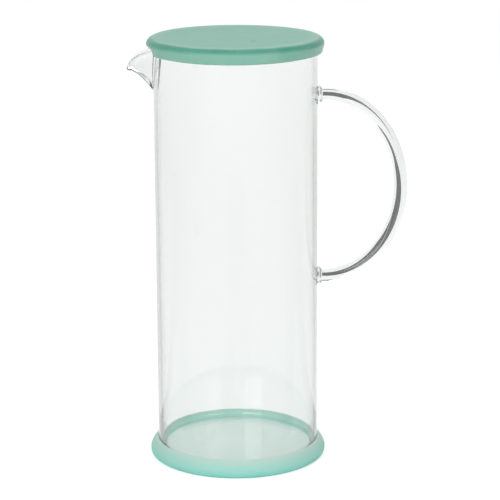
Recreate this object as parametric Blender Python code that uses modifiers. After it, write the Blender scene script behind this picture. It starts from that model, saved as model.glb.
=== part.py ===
"""Infusion pitcher: a straight glass jug with a pulled beak and a glass rod handle, a soft lid and a soft boot.

Metres, +Z up. The origin is the centre of the boot's flat underside. The handle points along +X and the
beak along -X. The jug stands in the boot and the lid sits on the jug's rim, so the jug's heights are measured
from the glass underside and the lid's from the glass rim, each in the frame of its own empty.
"""

import math

import bmesh
import bpy
import numpy as np

# Clearance that keeps neighbouring solids apart
GAP = 0.0003

# Glass body
BODY_RADIUS = 0.0500
WALL = 0.0025
FLOOR = 0.0040
JUG_HEIGHT = 0.2542
HEEL_RADIUS = 0.0050
RIM_ROUND = 0.0008

# Beak, measured on the middle of the glass wall
BEAK_DEPTH = 0.0295
BEAK_REACH = 0.01625
BEAK_BELLY = 0.00775
BEAK_DROP = 0.0123
BEAK_STRAIGHT = 0.0050
BEAK_HALF_ANGLE = math.radians(16.2)
BEAK_DROP_POWER = 1.2
BEAK_RINGS = 10

# Handle, a half ellipse of glass rod with a flared weld at each end
HANDLE_MIDDLE = 0.1672
HANDLE_HALF_HEIGHT = 0.0567
HANDLE_START = 0.0544
HANDLE_REACH = 0.0465
ROD_RADIUS = 0.0042
WELD_RADIUS = 0.0056
HANDLE_POINTS = 33

# Lid, measured from the glass rim
LID_RADIUS = 0.0539
LID_TOP = 0.0057
LID_FLAT_RADIUS = 0.0503
LID_SHOULDER_DROP = 0.0040
LID_SHOULDER_START = 65
SKIRT_DEPTH = 0.0034
SKIRT_LOW_RADIUS = 0.0527
SKIRT_ROUND = 0.0006
PLUG_DEPTH = 0.0044
PLUG_THICKNESS = 0.0026
NOTCH_HALF_WIDTH = 0.0183

# Boot, a cup that the jug stands in
BOOT_RADIUS = 0.0548
BOOT_HEIGHT = 0.0109
BOOT_FLOOR = 0.0030
BOOT_WAIST = 0.0044
BOOT_FOOT_ROUND = 0.0027
BOOT_LIP = 0.0005
BOOT_SLOPE_POWER = 1.17

TURN_STEPS = 64
# Share by which the columns of the jug's wall crowd together at the beak
CROWDING = 0.5
MERGE = 1e-5

WALL_MIDDLE = BODY_RADIUS - WALL / 2
JUG_BASE = BOOT_FLOOR + GAP


def clear_scene():
    """Remove the objects of the scene that the script starts in."""
    for old in list(bpy.data.objects):
        bpy.data.objects.remove(old)


def new_collection(name, hidden=False):
    """A collection in the scene, left out of renders when hidden."""
    collection = bpy.data.collections.new(name)
    collection.hide_render = hidden
    bpy.context.scene.collection.children.link(collection)
    return collection


def new_material(name, colour, roughness, transmission=0.0, ior=1.45):
    """A Principled material in one linear colour."""
    material = bpy.data.materials.new(name)
    material.use_nodes = True
    shader = material.node_tree.nodes["Principled BSDF"]
    shader.inputs["Base Color"].default_value = (*colour, 1.0)
    shader.inputs["Roughness"].default_value = roughness
    shader.inputs["Metallic"].default_value = 0.0
    shader.inputs["Transmission Weight"].default_value = transmission
    shader.inputs["IOR"].default_value = ior
    return material


def new_empty(name, height, parent=None):
    """An empty on the pitcher's axis, at this height in its parent's frame."""
    empty = bpy.data.objects.new(name, None)
    empty.location.z = height
    empty.parent = parent
    parts.objects.link(empty)
    return empty


def add_object(name, data, collection, material=None, parent=None):
    """An object with this data, linked to a collection."""
    item = bpy.data.objects.new(name, data)
    item.parent = parent
    if material:
        data.materials.append(material)
    collection.objects.link(item)
    return item


def add_cutter(name, mesh, target, parent=None):
    """Cut this closed mesh out of the target with a Boolean."""
    cutter = add_object(name, mesh, cutters, parent=parent)
    cutter.hide_render = True
    cutter.display_type = "WIRE"
    cut = target.modifiers.new(name, "BOOLEAN")
    cut.operation = "DIFFERENCE"
    cut.object = cutter
    return cutter


def rounded(centre_r, centre_z, reach_r, reach_z, start, end, steps, power=2.0):
    """Points of a superellipse arc about a centre, from one angle in degrees to another."""
    points = []
    for angle in np.radians(np.linspace(start, end, steps + 1)):
        across = math.copysign(abs(math.cos(angle)) ** (2 / power), math.cos(angle))
        up = math.copysign(abs(math.sin(angle)) ** (2 / power), math.sin(angle))
        points.append((centre_r + reach_r * across, centre_z + reach_z * up))
    return points


def turned(name, profile, material, parent, closed=True):
    """Turn a profile of (radius, height) about the vertical axis with a Screw."""
    count = len(profile)
    edges = [(i, i + 1) for i in range(count - 1)]
    on_axis = profile[0][0] == 0.0 and profile[-1][0] == 0.0
    if closed and not on_axis:
        edges.append((count - 1, 0))
    mesh = bpy.data.meshes.new(name)
    mesh.from_pydata([(r, 0.0, z) for r, z in profile], edges, [])
    item = add_object(name, mesh, parts, material, parent)
    screw = item.modifiers.new("turn", "SCREW")
    screw.axis = "Z"
    screw.steps = TURN_STEPS
    screw.render_steps = TURN_STEPS
    screw.use_merge_vertices = True
    screw.merge_threshold = MERGE
    screw.use_smooth_shade = True
    return item


def bake(item):
    """Replace an object's mesh by its evaluated one and drop its modifiers."""
    bpy.context.view_layer.update()
    graph = bpy.context.evaluated_depsgraph_get()
    mesh = bpy.data.meshes.new_from_object(item.evaluated_get(graph))
    item.modifiers.clear()
    item.data = mesh
    return mesh


def beak_weight(angle):
    """How much of the beak's pull a column takes: a raised cosine of its angle from -X."""
    share = np.minimum(np.abs(angle) / BEAK_HALF_ANGLE, 1.0)
    return 0.5 * (1.0 + np.cos(np.pi * share))


def pull_beak(mesh):
    """Crowd the turned wall's columns at -X, then pull the top of the wall out and down into a beak.

    The middle column follows a cubic Bezier from the wall to the tip, and the others take their share of it.
    """
    points = np.empty(len(mesh.vertices) * 3, np.float32)
    mesh.vertices.foreach_get("co", points)
    points = points.reshape(-1, 3)
    radius = np.hypot(points[:, 0], points[:, 1])
    angle = np.arctan2(points[:, 1], -points[:, 0])
    angle -= CROWDING * np.sin(angle)
    step = np.clip((points[:, 2] - (JUG_HEIGHT - BEAK_DEPTH)) / BEAK_DEPTH, 0.0, 1.0)
    tip_height = BEAK_DEPTH - BEAK_DROP
    late = 3 * (1 - step) * step**2
    out = late * BEAK_BELLY + step**3 * BEAK_REACH
    path_height = 3 * (1 - step) ** 2 * step * BEAK_STRAIGHT + (late + step**3) * tip_height
    drop = step * BEAK_DEPTH - path_height
    pull = beak_weight(angle)
    points[:, 0] = -radius * np.cos(angle) - pull * out
    points[:, 1] = radius * np.sin(angle)
    points[:, 2] -= pull**BEAK_DROP_POWER * drop
    mesh.vertices.foreach_set("co", points.ravel())
    mesh.update()


def make_jug_body():
    """The glass body: the middle of the wall is turned, its beak pulled, and a Solidify gives it thickness."""
    heel_centre = WALL_MIDDLE - HEEL_RADIUS
    beak_root = JUG_HEIGHT - BEAK_DEPTH
    profile = [(WALL_MIDDLE, z) for z in np.linspace(JUG_HEIGHT, beak_root, BEAK_RINGS + 1)]
    profile += rounded(heel_centre, FLOOR / 2 + HEEL_RADIUS, HEEL_RADIUS, HEEL_RADIUS, 0, -90, 4)
    profile.append((0.0, FLOOR / 2))
    body = turned("jug_body", profile, glass, jug_frame, closed=False)
    mesh = bake(body)
    pull_beak(mesh)
    on_floor = [v.index for v in mesh.vertices if v.co.z < FLOOR / 2 + MERGE]
    body.vertex_groups.new(name="floor").add(on_floor, 1.0, "REPLACE")
    shell = body.modifiers.new("wall", "SOLIDIFY")
    shell.thickness = FLOOR
    shell.offset = 0.0
    shell.vertex_group = "floor"
    shell.thickness_vertex_group = WALL / FLOOR
    lip = body.modifiers.new("rim", "BEVEL")
    lip.width = RIM_ROUND
    lip.segments = 2
    lip.limit_method = "ANGLE"
    lip.angle_limit = math.radians(65)
    return body


def make_handle_rod():
    """The glass rod, bent in a half ellipse from the upper weld to the lower one."""
    curve = bpy.data.curves.new("handle_rod", "CURVE")
    curve.dimensions = "3D"
    curve.bevel_depth = ROD_RADIUS
    curve.bevel_resolution = 4
    curve.use_fill_caps = True
    spline = curve.splines.new("POLY")
    spline.points.add(HANDLE_POINTS - 1)
    for point, angle in zip(spline.points, np.linspace(math.pi / 2, -math.pi / 2, HANDLE_POINTS)):
        x = HANDLE_START + HANDLE_REACH * math.cos(angle)
        z = HANDLE_MIDDLE + HANDLE_HALF_HEIGHT * math.sin(angle)
        point.co = (x, 0.0, z, 1.0)
    return add_object("handle_rod", curve, parts, glass, jug_frame)


def make_weld(name, height):
    """A flared glass foot that joins the rod to the wall, turned about the rod's end and cut to the wall."""
    outer = HANDLE_START - GAP
    inner = BODY_RADIUS - WALL / 2
    flare = WELD_RADIUS - ROD_RADIUS
    length = outer - BODY_RADIUS
    profile = [(0.0, outer)]
    profile += rounded(WELD_RADIUS, outer, -flare, -length, 0, 90, 4)
    profile += [(WELD_RADIUS, inner), (0.0, inner)]
    weld = turned(name, profile, glass, jug_frame)
    weld.location.z = height
    weld.rotation_euler.y = math.pi / 2
    wall = bmesh.new()
    bmesh.ops.create_cone(wall, cap_ends=True, segments=2 * TURN_STEPS, depth=4 * WELD_RADIUS,
                          radius1=BODY_RADIUS + GAP, radius2=BODY_RADIUS + GAP)
    mesh = bpy.data.meshes.new(name + "_wall")
    wall.to_mesh(mesh)
    wall.free()
    add_cutter(name + "_wall", mesh, weld, jug_frame).location.z = height
    return weld


def make_lid_cap():
    """The lid: a plate with a creased, sloping shoulder, a skirt outside the rim and a plug ring inside it.

    Skirt and plug are notched over the beak, so that the pitcher pours with its lid on.
    """
    start = math.radians(LID_SHOULDER_START)
    reach_r = (LID_RADIUS - LID_FLAT_RADIUS) / (1 - math.cos(start))
    reach_z = LID_SHOULDER_DROP / math.sin(start)
    skirt_inner = BODY_RADIUS + GAP
    plug_outer = BODY_RADIUS - WALL - GAP
    plug_inner = plug_outer - PLUG_THICKNESS
    profile = [(0.0, LID_TOP)]
    profile += rounded(LID_RADIUS - reach_r, LID_TOP - LID_SHOULDER_DROP, reach_r, reach_z, LID_SHOULDER_START, 0, 7)
    profile += rounded(SKIRT_LOW_RADIUS - SKIRT_ROUND, SKIRT_ROUND - SKIRT_DEPTH, SKIRT_ROUND, SKIRT_ROUND, 0, -90, 2)
    profile += [(skirt_inner, -SKIRT_DEPTH), (skirt_inner, GAP), (plug_outer, GAP)]
    profile += [(plug_outer, -PLUG_DEPTH), (plug_inner, -PLUG_DEPTH), (plug_inner, GAP), (0.0, GAP)]
    lid = turned("lid_cap", profile, silicone_lid, lid_frame)
    notch = bmesh.new()
    bmesh.ops.create_cube(notch, size=1.0)
    depth = LID_RADIUS - plug_inner + 8 * GAP
    height = PLUG_DEPTH + 10 * GAP
    bmesh.ops.scale(notch, vec=(depth, 2 * NOTCH_HALF_WIDTH, height), verts=notch.verts)
    mesh = bpy.data.meshes.new("beak_notch")
    notch.to_mesh(mesh)
    notch.free()
    cutter = add_cutter("beak_notch", mesh, lid, lid_frame)
    cutter.location = (-(LID_RADIUS + plug_inner) / 2, 0.0, 2 * GAP - height / 2)
    return lid


def make_base_boot():
    """The boot: a shallow cup with a flat underside and a sloping shoulder that ends in a thin lip."""
    inner = BODY_RADIUS + GAP
    heel_r = WALL_MIDDLE - HEEL_RADIUS
    heel_z = JUG_BASE + FLOOR / 2 + HEEL_RADIUS
    lip_r = inner + BOOT_LIP
    profile = [(0.0, BOOT_FLOOR), (heel_r, BOOT_FLOOR)]
    profile += rounded(heel_r, heel_z, inner - heel_r, heel_z - BOOT_FLOOR, -75, 0, 5)
    profile.append((inner, BOOT_HEIGHT))
    profile += rounded(lip_r, BOOT_WAIST, BOOT_RADIUS - lip_r, BOOT_HEIGHT - BOOT_WAIST, 90, 0, 6, BOOT_SLOPE_POWER)
    foot_r = BOOT_RADIUS - BOOT_FOOT_ROUND
    profile += rounded(foot_r, BOOT_FOOT_ROUND, BOOT_FOOT_ROUND, BOOT_FOOT_ROUND, 0, -90, 4)
    profile.append((0.0, 0.0))
    return turned("base_boot", profile, silicone_boot, boot_frame)


clear_scene()
parts = new_collection("infusion_pitcher")
cutters = new_collection("cutters", hidden=True)

glass = new_material("clear_glass", (0.94, 0.97, 0.96), 0.02, transmission=1.0, ior=1.47)
silicone_lid = new_material("lid_silicone", (0.20, 0.46, 0.38), 0.45)
silicone_boot = new_material("boot_silicone", (0.26, 0.62, 0.52), 0.45)

boot_frame = new_empty("boot_frame", 0.0)
jug_frame = new_empty("jug_frame", JUG_BASE, boot_frame)
lid_frame = new_empty("lid_frame", JUG_HEIGHT, jug_frame)

make_base_boot()
make_jug_body()
make_handle_rod()
make_weld("handle_upper_weld", HANDLE_MIDDLE + HANDLE_HALF_HEIGHT)
make_weld("handle_lower_weld", HANDLE_MIDDLE - HANDLE_HALF_HEIGHT)
make_lid_cap()
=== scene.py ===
# %% [markdown]
# # Infusion pitcher
# A tall straight jug of clear glass stands in a soft aqua boot and is closed by a soft aqua lid. The jug
# has a pulled pouring beak on one side and a bent glass rod for a handle on the other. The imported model
# is loaded first, because every piece below has to ride on one of its three bodies: the boot, the jug
# and the lid.

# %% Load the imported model
import math

import bpy
import numpy as np
from mathutils import Matrix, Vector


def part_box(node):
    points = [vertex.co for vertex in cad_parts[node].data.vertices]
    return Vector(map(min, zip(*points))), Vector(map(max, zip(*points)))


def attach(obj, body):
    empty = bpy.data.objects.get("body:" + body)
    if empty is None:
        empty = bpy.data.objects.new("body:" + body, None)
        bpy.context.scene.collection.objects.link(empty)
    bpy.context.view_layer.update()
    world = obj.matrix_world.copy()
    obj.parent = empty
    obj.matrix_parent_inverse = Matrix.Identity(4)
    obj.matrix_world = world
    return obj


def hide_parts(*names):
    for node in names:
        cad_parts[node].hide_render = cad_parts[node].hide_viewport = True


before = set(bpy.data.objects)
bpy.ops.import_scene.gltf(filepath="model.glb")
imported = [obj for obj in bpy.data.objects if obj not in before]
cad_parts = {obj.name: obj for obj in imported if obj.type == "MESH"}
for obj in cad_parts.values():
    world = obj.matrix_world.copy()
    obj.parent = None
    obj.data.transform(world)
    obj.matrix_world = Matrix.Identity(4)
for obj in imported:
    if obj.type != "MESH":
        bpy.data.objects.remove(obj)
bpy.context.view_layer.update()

# %% [markdown]
# ## Sizes
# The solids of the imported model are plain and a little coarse, so each one is rebuilt here as a finer
# surface of the same size. Sizes are in metres, with +Z up from the table, the handle towards +X and the
# beak towards -X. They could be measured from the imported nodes, but a beak or a shoulder is described by
# a formula, so its numbers are named. The sizes that the pieces share come first, and the others stand
# where they are needed.

# %% Sizes that the pieces share
GAP = 0.0003
BODY_RADIUS = 0.0500
WALL = 0.0025
FLOOR = 0.0040
HEEL_RADIUS = 0.0050
JUG_BASE = 0.0033
JUG_HEIGHT = 0.2542
RIM = JUG_BASE + JUG_HEIGHT

for node in ("jug_body", "lid_cap", "base_boot"):
    low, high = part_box(node)
    tall = f"{1000 * low.z:.1f} to {1000 * high.z:.1f} mm high"
    print(f"{node}: {tall}, {1000 * (high.y - low.y):.1f} mm across")

# %% [markdown]
# ## From a grid of points to a mesh
# All four pieces are closed skins that go round something: the jug, the lid and the boot round the
# pitcher's axis, and the handle round its own bent rod. A skin is worked out as rows of points, and each
# row is a closed ring. Blender's Screw or a bevelled curve could sweep such a ring, but neither can pull
# a beak or cut a notch. So numpy works out the whole grid at once, and one helper joins neighbouring rows
# with four-sided faces and closes both ends.

# %% A closed skin from rings of points


def closed_skin(name, rings, first_pole, last_pole):
    """Object made of rings x columns x 3 points. Ring i is joined to ring i + 1 and the last column to
    the first by four-sided faces, and a fan of triangles from a pole closes the first and the last ring.
    With columns that run anticlockwise about the direction in which the rings follow each other, seen
    against it, faces point outwards."""
    count, columns = rings.shape[:2]
    points = np.concatenate([rings.reshape(-1, 3), [first_pole], [last_pole]])
    here = np.arange(count * columns).reshape(count, columns)
    beside = np.roll(here, -1, axis=1)
    quads = np.stack([here[:-1], beside[:-1], beside[1:], here[1:]], axis=-1).reshape(-1, 4)
    first = np.full(columns, count * columns)
    last = first + 1
    start_fan = np.stack([beside[0], here[0], first], axis=-1)
    end_fan = np.stack([here[-1], beside[-1], last], axis=-1)
    mesh = bpy.data.meshes.new(name)
    mesh.from_pydata(points.tolist(), [], quads.tolist() + start_fan.tolist() + end_fan.tolist())
    mesh.validate()
    mesh.shade_smooth()
    piece = bpy.data.objects.new(name, mesh)
    bpy.context.scene.collection.objects.link(piece)
    return piece


print("helper ready: closed_skin")

# %% [markdown]
# A turned piece starts as a profile, a row of points that each have a distance from the axis and a
# height. Flat runs and arcs make up the profile, and every point of it then goes round the axis. Even
# steps round the axis would be too coarse for a beak or wasted on a plain wall, so they can be crowded
# where the shape is fine.

# %% Profiles, and how they go round the axis
FINE_STEPS = 8000


def flat_run(radii, height):
    """Profile points at one height and at the given distances from the axis."""
    return np.stack([radii, np.full(radii.size, height)], axis=-1)


def arc(centre_r, centre_z, reach_r, reach_z, start, end, steps, power=2.0):
    """Points of a superellipse about a centre: each coordinate is the centre plus its reach times the
    cosine or sine, raised to 2 / power with its sign kept."""
    angle = np.linspace(start, end, steps + 1)
    across = np.sign(np.cos(angle)) * np.abs(np.cos(angle)) ** (2 / power)
    up = np.sign(np.sin(angle)) * np.abs(np.sin(angle)) ** (2 / power)
    return np.stack([centre_r + reach_r * across, centre_z + reach_z * up], axis=-1)


def crowded_turn(count, centres, spread, gain):
    """Angles of one full turn that lie closer together near the given centres. The density is 1 plus a
    bell curve of height gain about each centre; its running sum, read backwards, gives the angles."""
    fine = np.linspace(-np.pi, np.pi, FINE_STEPS + 1)
    away = (fine[:, None] - np.asarray(centres)[None, :] + np.pi) % (2 * np.pi) - np.pi
    density = 1 + gain * np.exp(-((away / spread) ** 2)).sum(axis=1)
    running = np.concatenate([[0.0], np.cumsum((density[1:] + density[:-1]) / 2)])
    return np.interp(np.arange(count) / count * running[-1], running, fine)


def turned(profile, angle):
    """Rings of a profile that goes round the axis. A point at distance r and height z goes to -r cos
    angle, -r sin angle and z, so the beak's side is at angle 0."""
    rings = np.empty((len(profile), angle.size, 3))
    rings[..., 0] = -profile[:, :1] * np.cos(angle)
    rings[..., 1] = -profile[:, :1] * np.sin(angle)
    rings[..., 2] = profile[:, 1:]
    return rings


print("helpers ready: flat_run, arc, crowded_turn, turned")

# %% [markdown]
# ## The glass jug
# The real jug starts as a tube of borosilicate glass. One end is closed to a flat floor, the other is cut
# and fire polished until its edge melts to a round bead, and the beak is pulled out of the soft rim with
# a rod. A sculpting brush could pull a beak too, but a formula gives the same beak each time and can be
# fitted. The middle column of the beak runs along a Bezier curve, and the columns beside it follow it
# less and less.

# %% The pull of the beak
BEAK_DEPTH = 0.0272
BEAK_REACH = 0.01700
BEAK_BELLY = 0.0079
BEAK_RISE = 0.0138
BEAK_DROP = 0.0123
BEAK_STRAIGHT = 0.0012
BEAK_HALF_ANGLE = math.radians(16.8)
BEAK_ROOT_ANGLE = math.radians(4.5)
BEAK_FLANK_POWER = 1.1
BEAK_MOUTH_SHARE = 0.38
BEAK_MOUTH_POWER = 6
beak_root = RIM - BEAK_DEPTH


def beak_path(height):
    """How far out and how far down the middle column is pulled at a height on the straight wall. It runs
    along a cubic Bezier curve: a little way up the wall, then out to the belly's handle, then to the
    tip."""
    step = np.clip((height - beak_root) / BEAK_DEPTH, 0, 1)
    early = 3 * (1 - step) ** 2 * step
    late = 3 * (1 - step) * step**2
    out = late * BEAK_BELLY + step**3 * BEAK_REACH
    path_height = early * BEAK_STRAIGHT + late * BEAK_RISE + step**3 * (BEAK_DEPTH - BEAK_DROP)
    return out, step * BEAK_DEPTH - path_height


def beak_share(angle, out):
    """Share that a column takes in the beak: half of 1 plus the cosine of its angle stretched to the
    beak's width. The width grows from its root to its mouth with the root of how far the beak stands
    out."""
    width = BEAK_ROOT_ANGLE + (BEAK_HALF_ANGLE - BEAK_ROOT_ANGLE) * np.sqrt(out / BEAK_REACH)
    return 0.5 * (1 + np.cos(np.pi * np.minimum(np.abs(angle) / width, 1)))


def beak_pull(points, angle):
    """Pull the top of a turned wall out and down at -X, each column by its share. Of the drop, most grows
    with that share, and the rest with its sixth power, which bends only the mouth down."""
    out, drop = beak_path(points[..., 2])
    share = beak_share(angle, out)
    pulled = points.copy()
    pulled[..., 0] -= share * out
    flank = (1 - BEAK_MOUTH_SHARE) * share**BEAK_FLANK_POWER
    pulled[..., 2] -= (flank + BEAK_MOUTH_SHARE * share**BEAK_MOUTH_POWER) * drop
    return pulled


tip_out, tip_drop = beak_path(RIM)
print(f"beak: its tip is pulled {1000 * tip_out:.1f} mm out and {1000 * tip_drop:.1f} mm down")

# %% [markdown]
# The middle of the wall is the natural thing to describe. Its profile runs across the floor, round the
# heel and up the wall, with rows that lie close together at the heel and along the beak and far apart on
# the plain wall between them. It is turned about the axis, and the beak pulls a few of its columns.

# %% The middle surface of the wall
JUG_COLUMNS = 340
FLOOR_ROWS = 15
HEEL_STEPS = 14
WALL_ROWS = 35
BEAK_ROWS = 45
WALL_CROWDING = 0.92
FLOOR_FIRST_RING = 0.002
LIP_HEIGHT = 0.0011
WALL_MIDDLE = BODY_RADIUS - WALL / 2

heel_r = WALL_MIDDLE - HEEL_RADIUS
floor_z = JUG_BASE + FLOOR / 2
wall_foot = floor_z + HEEL_RADIUS
floor_rows = flat_run(np.linspace(FLOOR_FIRST_RING, heel_r, FLOOR_ROWS + 1)[:-1], floor_z)
heel_rows = arc(heel_r, wall_foot, HEEL_RADIUS, HEEL_RADIUS, -np.pi / 2, 0, HEEL_STEPS)
share = np.linspace(0, 1, WALL_ROWS + 1)[1:]
crowded_share = share - WALL_CROWDING * np.sin(2 * np.pi * share) / (2 * np.pi)
wall_heights = wall_foot + (beak_root - wall_foot) * crowded_share
beak_heights = np.linspace(beak_root, RIM - LIP_HEIGHT, BEAK_ROWS + 1)[1:]
rising = np.concatenate([wall_heights, beak_heights])
wall_rows = np.stack([np.full(rising.size, WALL_MIDDLE), rising], axis=-1)
middle_profile = np.concatenate([floor_rows, heel_rows, wall_rows])

jug_angle = crowded_turn(JUG_COLUMNS, [0.0], spread=math.radians(13), gain=4.0)
middle = beak_pull(turned(middle_profile, jug_angle), jug_angle)
print("middle of the wall:", middle.shape[0], "rings of", middle.shape[1], "points")

# %% [markdown]
# Moving that surface half a wall outwards and half a wall inwards along its own normals gives both skins,
# as a Solidify modifier would. But here the thickness can change: the floor is thick, the rim has a bead,
# glass has gathered along the keel of the beak, and drawn glass is never perfectly even. The normals come
# from differences between neighbouring grid points: the cross product of the step round the ring and the
# step along the profile. The lip is half an ellipse between the two skins.

# %% Both skins, the lip and the floor's punt
RIM_BEAD = 0.00025
MOUTH_BEAD = 0.0004
BEAD_DEPTH = 0.0016
KEEL_GATHER = 0.0008
KEEL_START = 0.003
KEEL_POWER = 3
FLOOR_FADE = 1.2 * HEEL_RADIUS
WALL_WAVE = 0.00006
LIP_ROWS = 13
PUNT_RISE = 0.0005
PUNT_RADIUS = 0.036


def ring_normals(points):
    """Unit normals of a grid of rings: the step to the next column crossed with the step to the next
    ring, which is returned too."""
    along = np.gradient(points, axis=0)
    around = np.roll(points, -1, axis=1) - np.roll(points, 1, axis=1)
    normal = np.cross(around, along)
    return normal / np.linalg.norm(normal, axis=-1, keepdims=True), along


def smooth_step(value, low, high):
    """0 below low, 1 above high, and 3s^2 - 2s^3 between them, where s is the share of the way."""
    share = np.clip((value - low) / (high - low), 0, 1)
    return share**2 * (3 - 2 * share)


def drawn_waves(angle, height):
    """Slow waves that drawing leaves in a tube. Two waves are added up, each with offsets of its own: a
    sine round the axis, with 3 or 5 lobes, times a sine up the wall, of 31 or 17 radians to the metre."""
    first = np.sin(3 * angle + 1.0) * np.sin(31 * height)
    return first + np.sin(5 * angle + 2.2) * np.sin(17 * height + 0.7)


def punt(points, rise):
    """Raise the middle of the floor: the rise times (1 - (r / punt radius)^2)^2, nothing outside that
    radius."""
    share = np.minimum(np.hypot(points[..., 0], points[..., 1]) / PUNT_RADIUS, 1)
    raised = points.copy()
    raised[..., 2] += rise * (1 - share**2) ** 2
    return raised


normal, along = ring_normals(middle)
height = middle_profile[:, 1:]
on_floor = 1 - smooth_step(middle_profile[:, :1] - heel_r + (height - floor_z), 0.0, FLOOR_FADE)
at_rim = np.exp(-(((RIM - LIP_HEIGHT - height) / BEAD_DEPTH) ** 2))
stands_out = beak_path(height)[0]
keel = beak_share(jug_angle, stands_out) ** KEEL_POWER
gathered = KEEL_GATHER * keel * np.minimum(stands_out / KEEL_START, 1)
thickness = WALL + (FLOOR - WALL) * on_floor + at_rim * (RIM_BEAD + MOUTH_BEAD * keel) + gathered
half_wall = thickness[..., None] / 2
uneven = WALL_WAVE * drawn_waves(jug_angle, height) * (1 - on_floor)
outer_skin = middle + normal * half_wall
inner_skin = middle - normal * (half_wall + uneven[..., None])

end_way = along[-1] / np.linalg.norm(along[-1], axis=-1, keepdims=True)
swing = np.linspace(0, np.pi, LIP_ROWS + 2)[1:-1, None, None]
lip = middle[-1] + np.cos(swing) * normal[-1] * half_wall[-1] + np.sin(swing) * end_way * LIP_HEIGHT

outer_skin[:FLOOR_ROWS] = punt(outer_skin[:FLOOR_ROWS], PUNT_RISE)
inner_skin[:FLOOR_ROWS] = punt(inner_skin[:FLOOR_ROWS], PUNT_RISE / 2)
jug_rings = np.concatenate([outer_skin, lip, inner_skin[::-1]])
under_pole = (0, 0, JUG_BASE + PUNT_RISE)
floor_pole = (0, 0, JUG_BASE + FLOOR + PUNT_RISE / 2)
glass_jug = closed_skin("glass_jug", jug_rings, under_pole, floor_pole)
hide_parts("jug_body")
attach(glass_jug, "jug")
rim_height = round(1000 * jug_rings[..., 2].max(), 2)
print("glass_jug:", len(glass_jug.data.polygons), "faces, rim at", rim_height, "mm")

# %% [markdown]
# ## The glass handle
# The handle is a solid glass rod, bent hot into a half ellipse. Its two ends are melted onto the wall,
# where the soft glass spreads into a small flared foot. In Blender a curve with a round bevel would give
# the rod, but its ends would be flat discs. Here a circle is carried along the bent path, it grows near
# the ends, and the end rings are moved along X until they lie on the wall of the jug.

# %% A circle carried along the bent path
HANDLE_MIDDLE = JUG_BASE + 0.1672
HANDLE_HALF_HEIGHT = 0.0567
HANDLE_START = 0.0544
HANDLE_REACH = 0.0465
ROD_RADIUS = 0.0042
WELD_RADIUS = 0.0056
FOOT_FLAT = 0.0012
FOOT_LENGTH = 0.0027
FOOT_SEAT = 0.00003
ROD_SIDES = 48
ROD_RINGS = 220
ROD_CROWDING = 0.12
BOW_POINTS = 2001
seat_radius = BODY_RADIUS + FOOT_SEAT


def handle_path(count):
    """Centre line of the rod: straight out of the wall, round a half ellipse and straight back in. A
    share s of its length is moved to s - crowding sin(2 pi s), which draws the points to the ends."""
    turn = np.linspace(np.pi / 2, -np.pi / 2, BOW_POINTS)
    bow_x = HANDLE_START + HANDLE_REACH * np.cos(turn)
    bow_z = HANDLE_MIDDLE + HANDLE_HALF_HEIGHT * np.sin(turn)
    x = np.concatenate([[seat_radius], bow_x, [seat_radius]])
    z = np.concatenate([bow_z[:1], bow_z, bow_z[-1:]])
    run = np.concatenate([[0.0], np.cumsum(np.hypot(np.diff(x), np.diff(z)))])
    share = np.linspace(0, 1, count)
    place = run[-1] * (share - ROD_CROWDING * np.sin(2 * np.pi * share))
    return np.interp(place, run, x), np.interp(place, run, z), place, run[-1]


path_x, path_z, place, rod_length = handle_path(ROD_RINGS)
way_x = np.gradient(path_x, place)
way_z = np.gradient(path_z, place)
way_length = np.hypot(way_x, way_z)
side_x = way_z / way_length
side_z = -way_x / way_length
from_end = np.minimum(place, rod_length - place)
flare = (WELD_RADIUS - ROD_RADIUS) * smooth_step(from_end, FOOT_FLAT, FOOT_LENGTH)
rod_radius = WELD_RADIUS - flare
round_angle = np.linspace(0, 2 * np.pi, ROD_SIDES, endpoint=False)
rod = np.empty((ROD_RINGS, ROD_SIDES, 3))
rod[..., 0] = path_x[:, None] + (rod_radius * side_x)[:, None] * np.cos(round_angle)
rod[..., 1] = rod_radius[:, None] * np.sin(round_angle)
rod[..., 2] = path_z[:, None] + (rod_radius * side_z)[:, None] * np.cos(round_angle)
print(f"handle: {1000 * rod_length:.0f} mm of rod, {2000 * ROD_RADIUS:.1f} mm thick")

# %% [markdown]
# A flat end would touch the round wall only along one line. The distance between a flat disc and the wall
# at a sideways offset y is R minus the root of R^2 - y^2, and it is taken off fully at the end and less
# and less over the first millimetres. Rings that shrink on the wall to a pole close the foot.

# %% Seat the feet on the wall and close them
SEAT_FADE = 0.004
SEAT_RINGS = 7


def wall_hollow(y):
    """How far the jug's wall falls back from its nearest line at a sideways offset y."""
    return seat_radius - np.sqrt(seat_radius**2 - y**2)


def foot_rings(edge_ring, centre_z, shares):
    """Rings that shrink from the foot's edge to its centre by the given shares and stay on the wall."""
    shares = np.asarray(shares)[:, None]
    seat = np.empty((shares.size, edge_ring.shape[0], 3))
    seat[..., 1] = shares * edge_ring[:, 1]
    seat[..., 2] = centre_z + shares * (edge_ring[:, 2] - centre_z)
    seat[..., 0] = seat_radius - wall_hollow(seat[..., 1])
    return seat


rod[..., 0] -= wall_hollow(rod[..., 1]) * np.exp(-((from_end / SEAT_FADE) ** 2))[:, None]
shrink = np.linspace(0, 1, SEAT_RINGS + 2)[1:-1]
upper_seat = foot_rings(rod[0], path_z[0], shrink)
lower_seat = foot_rings(rod[-1], path_z[-1], shrink[::-1])
handle_rings = np.concatenate([upper_seat, rod, lower_seat])
upper_pole = (seat_radius, 0, path_z[0])
lower_pole = (seat_radius, 0, path_z[-1])
glass_handle = closed_skin("glass_handle", handle_rings, upper_pole, lower_pole)
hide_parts("handle_rod", "handle_upper_weld", "handle_lower_weld")
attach(glass_handle, "jug")
handle_end = round(1000 * rod[..., 0].max(), 1)
print("glass_handle:", len(glass_handle.data.polygons), "faces, reaches x =", handle_end, "mm")

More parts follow.
